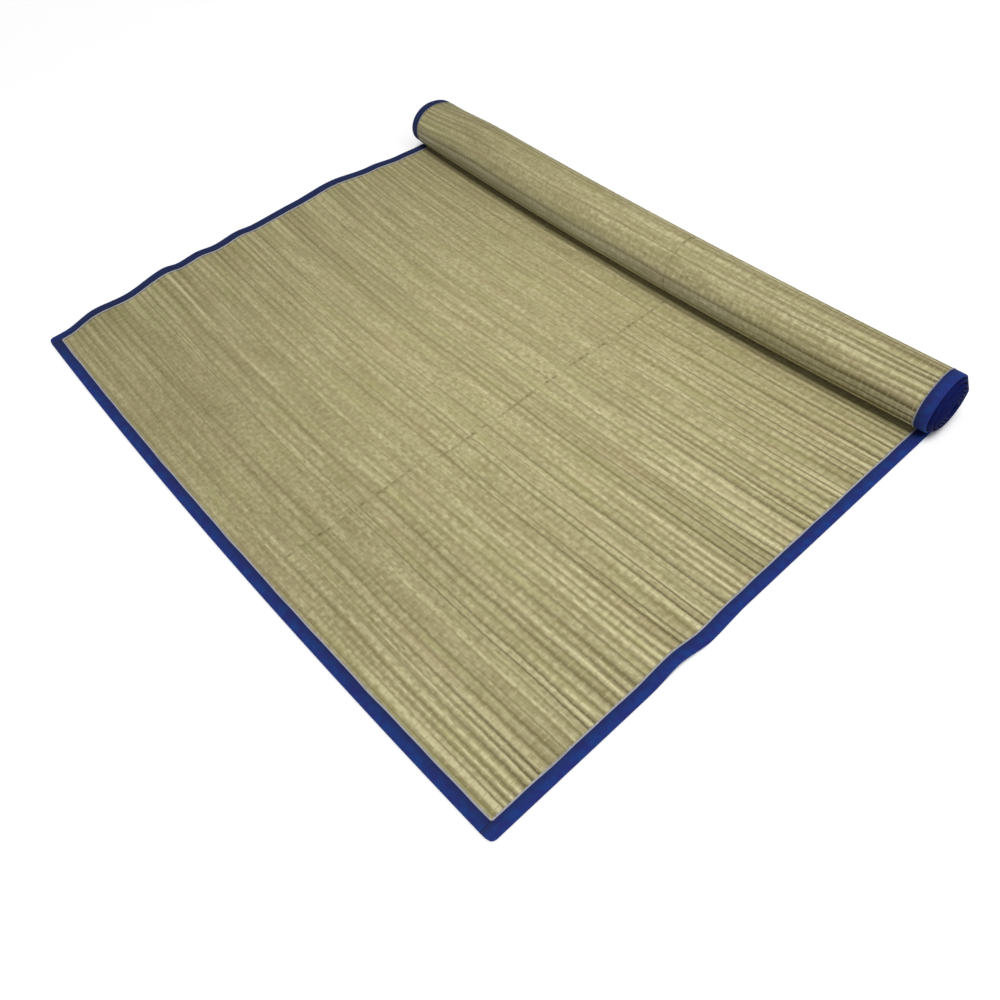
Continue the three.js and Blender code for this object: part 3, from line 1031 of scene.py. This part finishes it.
class BEACH_MAT_OT_bind_threads(bpy.types.Operator):
    """Bind the straws with threads along the mat"""

    bl_idname = "beach_mat.bind_threads"
    bl_label = "Bind Threads"

    def execute(self, context):
        sizes = context.scene.mat_sizes
        colours = context.scene.mat_colours
        straws = Straws(sizes)
        above = thread_arches(sizes, straws, True, ARCHES_END, ABOVE_SEED)
        under = thread_arches(sizes, straws, False, length_at_angle(FULL_TURN), UNDER_SEED)
        points = np.concatenate([above[0], under[0]])
        tone = np.concatenate([above[1], under[1]])
        piece = joined_copies("binding_threads", points, prism_faces(4, 3), {"tone": tone})
        piece.data.materials.append(thread_material("Pale thread", tuple(colours.thread)))
        mend_facing(piece.data)
        piece.data.shade_flat()
        return {"FINISHED"}


# The stitches: places along one and its thickness there, half its width and height, how far it wanders
# along and across, how far the row lies from the tape's edge, how it lies on the straw, and where rows start
# and end. Under the roll's bend a stitch lies on the outside of the sheet, and under the flat part inside it,
# clear of the floor.
STITCH_REACH = (-0.0019, -0.0014, 0.0014, 0.0019)
STITCH_TAPER = (0.3, 1.0, 1.0, 0.3)
STITCH_HALF_WIDTH = 0.0007
STITCH_HALF_HEIGHT = 0.00035
STITCH_WANDER = 0.0003
ROW_WANDER = 0.0002
ROW_FROM_TAPE = 0.0006
STITCH_BED = 0.0002
FLOOR_BED = 0.0004
FLOOR_BED_END = BEND_START + 0.01
UNDER_TONE = 0.3
FIRST_FROM_TAPE = 0.003
STITCHES_END = FLAT_LENGTH - 0.004
LEFT_SEED = 31
RIGHT_SEED = 32
END_SEED = 33


def stitch_bars(sizes, starts, to_mat, upper, seed):
    """Short flat stitches along a tape's inner edge, half on the tape and half on the straw."""
    draw = np.random.default_rng(seed)
    middle = starts + draw.uniform(-STITCH_WANDER, STITCH_WANDER, len(starts))
    thick = np.array(STITCH_TAPER)
    inward = sizes.tape_face + ROW_FROM_TAPE + draw.uniform(-ROW_WANDER, ROW_WANDER, len(starts))
    corners = []
    for aside, raised in ((1, 0), (0, 1), (-1, 0), (0, -1)):
        t = middle[:, None] + np.array(STITCH_REACH)
        d = inward[:, None] + STITCH_HALF_WIDTH * aside * thick
        s, x = to_mat(t, d)
        under = np.where(s > FLOOR_BED_END, -STITCH_BED, FLOOR_BED)
        bed = STRAW_THICK + STITCH_BED if upper else under
        corners.append(mat_point(sizes, s, x, bed + STITCH_HALF_HEIGHT * raised * thick))
    points = np.stack(corners, 2)
    tone = draw.random(len(starts)) * (1.0 if upper else UNDER_TONE)
    return points.reshape(len(starts), -1, 3), tone


class BEACH_MAT_OT_sew_stitches(bpy.types.Operator):
    """Sew stitches along the inner edges of the tapes on both faces"""

    bl_idname = "beach_mat.sew_stitches"
    bl_label = "Sew Stitches"

    def execute(self, context):
        sizes = context.scene.mat_sizes
        half = sizes.width / 2
        turned = length_at_angle(FULL_TURN)
        first = sizes.tape_face + FIRST_FROM_TAPE
        side_top = np.arange(first, STITCHES_END, sizes.stitch_pitch)
        side_under = np.arange(first, turned, sizes.stitch_pitch)
        end = np.arange(first - half, half - first, sizes.stitch_pitch)
        runs = []
        for upper, side in ((True, side_top), (False, side_under)):
            runs.append(stitch_bars(sizes, side, lambda t, d: (t, d - half), upper, LEFT_SEED))
            runs.append(stitch_bars(sizes, side, lambda t, d: (t, half - d), upper, RIGHT_SEED))
            runs.append(stitch_bars(sizes, end, lambda t, d: (d, t), upper, END_SEED))
        points = np.concatenate([run[0] for run in runs])
        tone = np.concatenate([run[1] for run in runs])
        piece = joined_copies("tape_stitches", points, prism_faces(4, 4), {"tone": tone})
        plain = tuple(context.scene.mat_colours.stitch)
        piece.data.materials.append(thread_material("Sewing thread", plain))
        mend_facing(piece.data)
        return {"FINISHED"}


# The folded tape: how far in from its inner edge the section's points lie, the points round the fold, how its
# width wanders and its face puckers over waves of these lengths, how its cut ends close, and how thin it lies
# where it is tucked under the side tape.
LEG_STEPS = (0.0, 0.0005, 0.003, 0.007, 0.0105)
FOLD_POINTS = 7
TAPE_WANDER = 0.035
TAPE_WAVES = (0.083, 0.051, 0.133)
PUCKER = 0.00022
PUCKER_WAVES = (0.019, 0.031, 0.012)
PUCKER_SLANT = 0.3
UNDER_PUCKER = 0.3
CUT_END = 0.0012
CUT_END_SPREAD = 0.25
CORNER_REACH = 0.02
TUCKED_THINNER = 0.5

# Rows along a tape: those round a corner, their spacing on the flat, and how many go to the bend, to a turn of
# the roll and to an end, which has more where it goes under the side tape.
CORNER_ROWS = 9
CORNER_ROWS_END = 0.012
FLAT_ROW_STEP = 0.003
ROW_CLEARANCE = 0.001
BEND_ROWS = 16
ROWS_IN_TURN = 48
END_ROWS = 290
END_ROWS_INSET = 0.0016
END_FINE_ROWS = (-0.0006, -0.0004, -0.0002, 0.0, 0.002, 0.004)

# How much darker the tape is along the left side and at the left of the ends, as painted shade, and on the ends
# as a whole, with the stretches over which it darkens, the turns over which painted shade darkens it as wound
# in, and how pale its sewn edge is on the roll.
PAINTED_SIDE_SHADE = 0.7
PAINTED_SIDE_SHADE_STRETCH = (-0.03, 0.06)
PAINTED_END_SHADE = 0.5
PAINTED_END_SHADE_FROM = 0.36
DARK_NEAR = 0.15
WOUND_TURNS = (0.85, 1.05)
ROLLED_SELVEDGE = 0.96


def fold_section(tape_face):
    """The folded tape's section as distances from the edge and heights, outer and inner, from the
    underside's inner edge round to the top's."""
    legs = tape_face - np.array(LEG_STEPS)
    turn = np.linspace(-math.pi / 2, math.pi / 2, FOLD_POINTS)
    outer_r = STACK_MIDDLE
    inner_r = STACK_MIDDLE - TAPE_THICK
    outer = [(d, 0.0) for d in legs]
    inner = [(d, TAPE_THICK) for d in legs]
    for a in turn:
        outer.append((outer_r * (1 - math.cos(a)), STACK_MIDDLE + outer_r * math.sin(a)))
        inner.append((outer_r - inner_r * math.cos(a), STACK_MIDDLE + inner_r * math.sin(a)))
    outer += [(d, STACK_TOP) for d in legs[::-1]]
    inner += [(d, STACK_TOP - TAPE_THICK) for d in legs[::-1]]
    return np.array(outer), np.array(inner)


def folded_tape(name, sizes, rows, seed, reverse, to_mat):
    """A tape folded over one edge: rows holds places along the edge, and to_mat turns a place along the
    edge and a distance from it into the mat's own places."""
    outer, inner = fold_section(sizes.tape_face)
    if reverse:
        outer, inner = outer[::-1], inner[::-1]
    section = np.concatenate([outer, inner[::-1], outer[:1]])
    other = np.concatenate([inner, outer[::-1], inner[:1]])
    along = np.concatenate([rows[:1], rows, rows[-1:]])
    half = sizes.width / 2
    is_side = rows[0] >= 0

    def place(row, column):
        t = along[row]
        cut = (row == 0) | (row == len(along) - 1)
        d, height = np.where(cut[:, None], (section[column] + other[column]) / 2, section[column]).T
        inward = d / sizes.tape_face
        end = np.minimum(t - along[0], along[-1] - t)
        closed = np.sqrt(1 - np.clip(1 - end / CUT_END, 0, 1) ** 2)
        d = d * (1 + TAPE_WANDER * inward * waver(t, seed, TAPE_WAVES))
        s, x = to_mat(t, d)
        from_side = half - np.abs(x)
        from_end = np.minimum(s, sizes.length - s)
        tucked = smooth_step(sizes.tape_face + TAPE_THICK - from_side, 0, TAPE_THICK) * (from_end < from_side)
        tucked = tucked * (from_end < sizes.tape_face) * (np.abs(t) > half - CORNER_REACH) * (not is_side)
        pucker = PUCKER * waver(t + PUCKER_SLANT * d, seed + 1, PUCKER_WAVES) * inward
        pucker = pucker * np.where(height > STACK_MIDDLE, 1.0, UNDER_PUCKER) * (1 - tucked)
        spread = (CUT_END_SPREAD + (1 - CUT_END_SPREAD) * closed) * (1 - TUCKED_THINNER * tucked)
        height = STACK_MIDDLE + (height - STACK_MIDDLE) * spread + pucker
        past_corner = (from_end if is_side else from_side) > sizes.tape_face
        selvedge = inward * past_corner * np.where(s > FLAT_LENGTH, ROLLED_SELVEDGE, 1.0)
        # Painted shade on the left tape and the left of the ends; the ends as a whole are a little darker.
        if is_side:
            dark = PAINTED_SIDE_SHADE * smooth_step(s, *PAINTED_SIDE_SHADE_STRETCH) * (x < 0)
        else:
            dark = PAINTED_END_SHADE * smooth_step(-x, PAINTED_END_SHADE_FROM, half) * (x < 0) + DARK_NEAR
        # Painted shade on the tape wound inside the roll.
        wound = smooth_step(winding_angle(s) / FULL_TURN, *WOUND_TURNS)
        attributes = {"along": s, "across": x, "inward": inward, "selvedge": selvedge}
        attributes.update(dark=dark, wound=wound)
        return mat_point(sizes, s, x, height), attributes

    return wrapped_grid(name, len(along), len(section), place)


class BEACH_MAT_OT_fold_tapes(bpy.types.Operator):
    """Fold the binding tape over the four edges"""

    bl_idname = "beach_mat.fold_tapes"
    bl_label = "Fold Tapes"

    def execute(self, context):
        sizes = context.scene.mat_sizes
        half = sizes.width / 2
        material = tape_material(context.scene.mat_colours)
        corner_rows = np.linspace(0, CORNER_ROWS_END, CORNER_ROWS)
        flat_rows = np.arange(CORNER_ROWS_END + FLAT_ROW_STEP, BEND_START - ROW_CLEARANCE, FLAT_ROW_STEP)
        bend_rows = length_at_angle(np.linspace(0, LEAN_ANGLE - ROW_CLEARANCE, BEND_ROWS))
        turns = np.arange(LEAN_ANGLE, float(winding_angle(sizes.length)), FULL_TURN / ROWS_IN_TURN)
        turn_rows = length_at_angle(turns)
        side_rows = np.concatenate([corner_rows, flat_rows, bend_rows, turn_rows, [sizes.length]])
        end_reach = half - sizes.tape_face
        end_fine = end_reach + np.array(END_FINE_ROWS)
        end_plain = np.linspace(-end_reach + END_ROWS_INSET, end_reach - END_ROWS_INSET, END_ROWS)
        end_rows = np.concatenate([-end_fine[::-1], end_plain, end_fine])
        makes = (
            ("left_tape", "tape_left", side_rows, 41, True, lambda t, d: (t, d - half)),
            ("right_tape", "tape_right", side_rows, 43, False, lambda t, d: (t, half - d)),
            ("near_tape", "tape_near_end", end_rows, 45, False, lambda t, d: (d, t)),
            ("rolled_tape", "tape_rolled_end", end_rows, 47, True, lambda t, d: (sizes.length - d, t)),
        )
        for name, node, rows, seed, reverse, to_mat in makes:
            piece = folded_tape(name, sizes, rows, seed, reverse, to_mat)
            piece.data.materials.append(material)
            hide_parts(node)
        return {"FINISHED"}


class BEACH_MAT_OT_declare_sheets(bpy.types.Operator):
    """A step left empty, which changes nothing."""

    bl_idname = "beach_mat.declare_sheets"
    bl_label = "Declare Sheets"

    def execute(self, context):
        return {"FINISHED"}


# The view: a lens and place that give the photograph's perspective.
LENS_SHARE = 0.885
SENSOR = 36.0
VIEW_AZIMUTH = math.radians(52.62)
VIEW_ELEVATION = math.radians(52.20)
VIEW_ROLL = math.radians(-5.66)
VIEW_DISTANCE = 0.9839
VIEW_TARGET = (0.1790, 0.2544)
FLOOR_SIZE = 12.0
FLOOR_DROP = 0.0002

# The key light: from the near side, high up, and soft.
KEY_AZIMUTH = math.radians(25)
KEY_ELEVATION = math.radians(72)
KEY_SOFTNESS = math.radians(24)
KEY_STRENGTH = 2.05
ROOM_STRENGTH = 0.32

# The fill: a broad light high up behind the right side.
FILL_PLACE = (1.0, 0.7, 2.2)
FILL_SIZE = 1.6
FILL_POWER = 11.0


def camera_matrix():
    """The camera's place and turn, from its azimuth, elevation, roll and distance."""
    level = math.cos(VIEW_ELEVATION)
    back = Vector((math.sin(VIEW_AZIMUTH) * level, -math.cos(VIEW_AZIMUTH) * level, math.sin(VIEW_ELEVATION)))
    right = (-back).cross(Vector((0, 0, 1))).normalized()
    up = right.cross(-back)
    turned_right = right * math.cos(VIEW_ROLL) + up * math.sin(VIEW_ROLL)
    turned_up = up * math.cos(VIEW_ROLL) - right * math.sin(VIEW_ROLL)
    target = Vector((VIEW_TARGET[0] - ORIGIN[0], VIEW_TARGET[1] - ORIGIN[1], 0))
    turn = Matrix((turned_right, turned_up, back)).transposed().to_4x4()
    return Matrix.Translation(target + back * VIEW_DISTANCE) @ turn


class BEACH_MAT_OT_set_stage(bpy.types.Operator):
    """Set the floor, the soft lights and the camera"""

    bl_idname = "beach_mat.set_stage"
    bl_label = "Set Stage"

    def execute(self, context):
        scene = context.scene
        mesh = bpy.data.meshes.new("floor")
        bm = bmesh.new()
        bmesh.ops.create_grid(bm, x_segments=1, y_segments=1, size=FLOOR_SIZE / 2)
        bmesh.ops.translate(bm, verts=bm.verts, vec=(0, 0, -FLOOR_DROP))
        bm.to_mesh(mesh)
        bm.free()
        floor = put(scene, mesh)
        material, _, shader = new_material("Pale floor")
        shader.inputs["Base Color"].default_value = (1, 1, 1, 1)
        shader.inputs["Roughness"].default_value = 0.9
        mesh.materials.append(material)

        world = bpy.data.worlds.new("Soft room")
        world.use_nodes = True
        world.node_tree.nodes["Background"].inputs["Color"].default_value = (1, 1, 1, 1)
        world.node_tree.nodes["Background"].inputs["Strength"].default_value = ROOM_STRENGTH
        scene.world = world
        key = bpy.data.lights.new("key", "SUN")
        key.energy = KEY_STRENGTH
        key.angle = KEY_SOFTNESS
        lamp = put(scene, key)
        side = Vector((math.sin(KEY_AZIMUTH), -math.cos(KEY_AZIMUTH), 0)) * math.cos(KEY_ELEVATION)
        toward = side + Vector((0, 0, math.sin(KEY_ELEVATION)))
        lamp.rotation_euler = toward.to_track_quat("Z", "Y").to_euler()
        fill = bpy.data.lights.new("fill", "AREA")
        fill.energy = FILL_POWER
        fill.size = FILL_SIZE
        panel = put(scene, fill)
        panel.location = FILL_PLACE
        panel.rotation_euler = Vector(FILL_PLACE).to_track_quat("Z", "Y").to_euler()

        data = bpy.data.cameras.new("camera")
        data.sensor_width = SENSOR
        data.lens = LENS_SHARE * SENSOR
        data.clip_start = 0.01
        camera = put(scene, data)
        camera.matrix_world = camera_matrix()
        scene.camera = camera
        scene.view_settings.view_transform = "Standard"
        return {"FINISHED"}


class BEACH_MAT_PT_panel(bpy.types.Panel):
    """The mat's sizes, colours and steps"""

    bl_idname = "BEACH_MAT_PT_panel"
    bl_label = "Straw Beach Mat"
    bl_space_type = "VIEW_3D"
    bl_region_type = "UI"
    bl_category = "Mat"

    def draw(self, context):
        layout = self.layout
        for group in (context.scene.mat_sizes, context.scene.mat_colours):
            box = layout.box()
            for name in group.bl_rna.properties.keys():
                if name not in {"rna_type", "name"}:
                    box.prop(group, name)
        for step in STEPS:
            layout.operator(step.bl_idname)


STEPS = (
    BEACH_MAT_OT_set_stage,
    BEACH_MAT_OT_lay_straw,
    BEACH_MAT_OT_bind_threads,
    BEACH_MAT_OT_fold_tapes,
    BEACH_MAT_OT_sew_stitches,
    BEACH_MAT_OT_declare_sheets,
)
CLASSES = (MatSizes, MatColours, *STEPS, BEACH_MAT_PT_panel)


def register():
    for each in CLASSES:
        bpy.utils.register_class(each)
    bpy.types.Scene.mat_sizes = bpy.props.PointerProperty(type=MatSizes)
    bpy.types.Scene.mat_colours = bpy.props.PointerProperty(type=MatColours)


def unregister():
    del bpy.types.Scene.mat_colours
    del bpy.types.Scene.mat_sizes
    for each in reversed(CLASSES):
        bpy.utils.unregister_class(each)


def main():
    register()
    bpy.ops.beach_mat.set_stage()
    bpy.ops.beach_mat.lay_straw()
    bpy.ops.beach_mat.bind_threads()
    bpy.ops.beach_mat.fold_tapes()
    bpy.ops.beach_mat.sew_stitches()
    bpy.ops.beach_mat.declare_sheets()


if __name__ == "__main__":
    main()
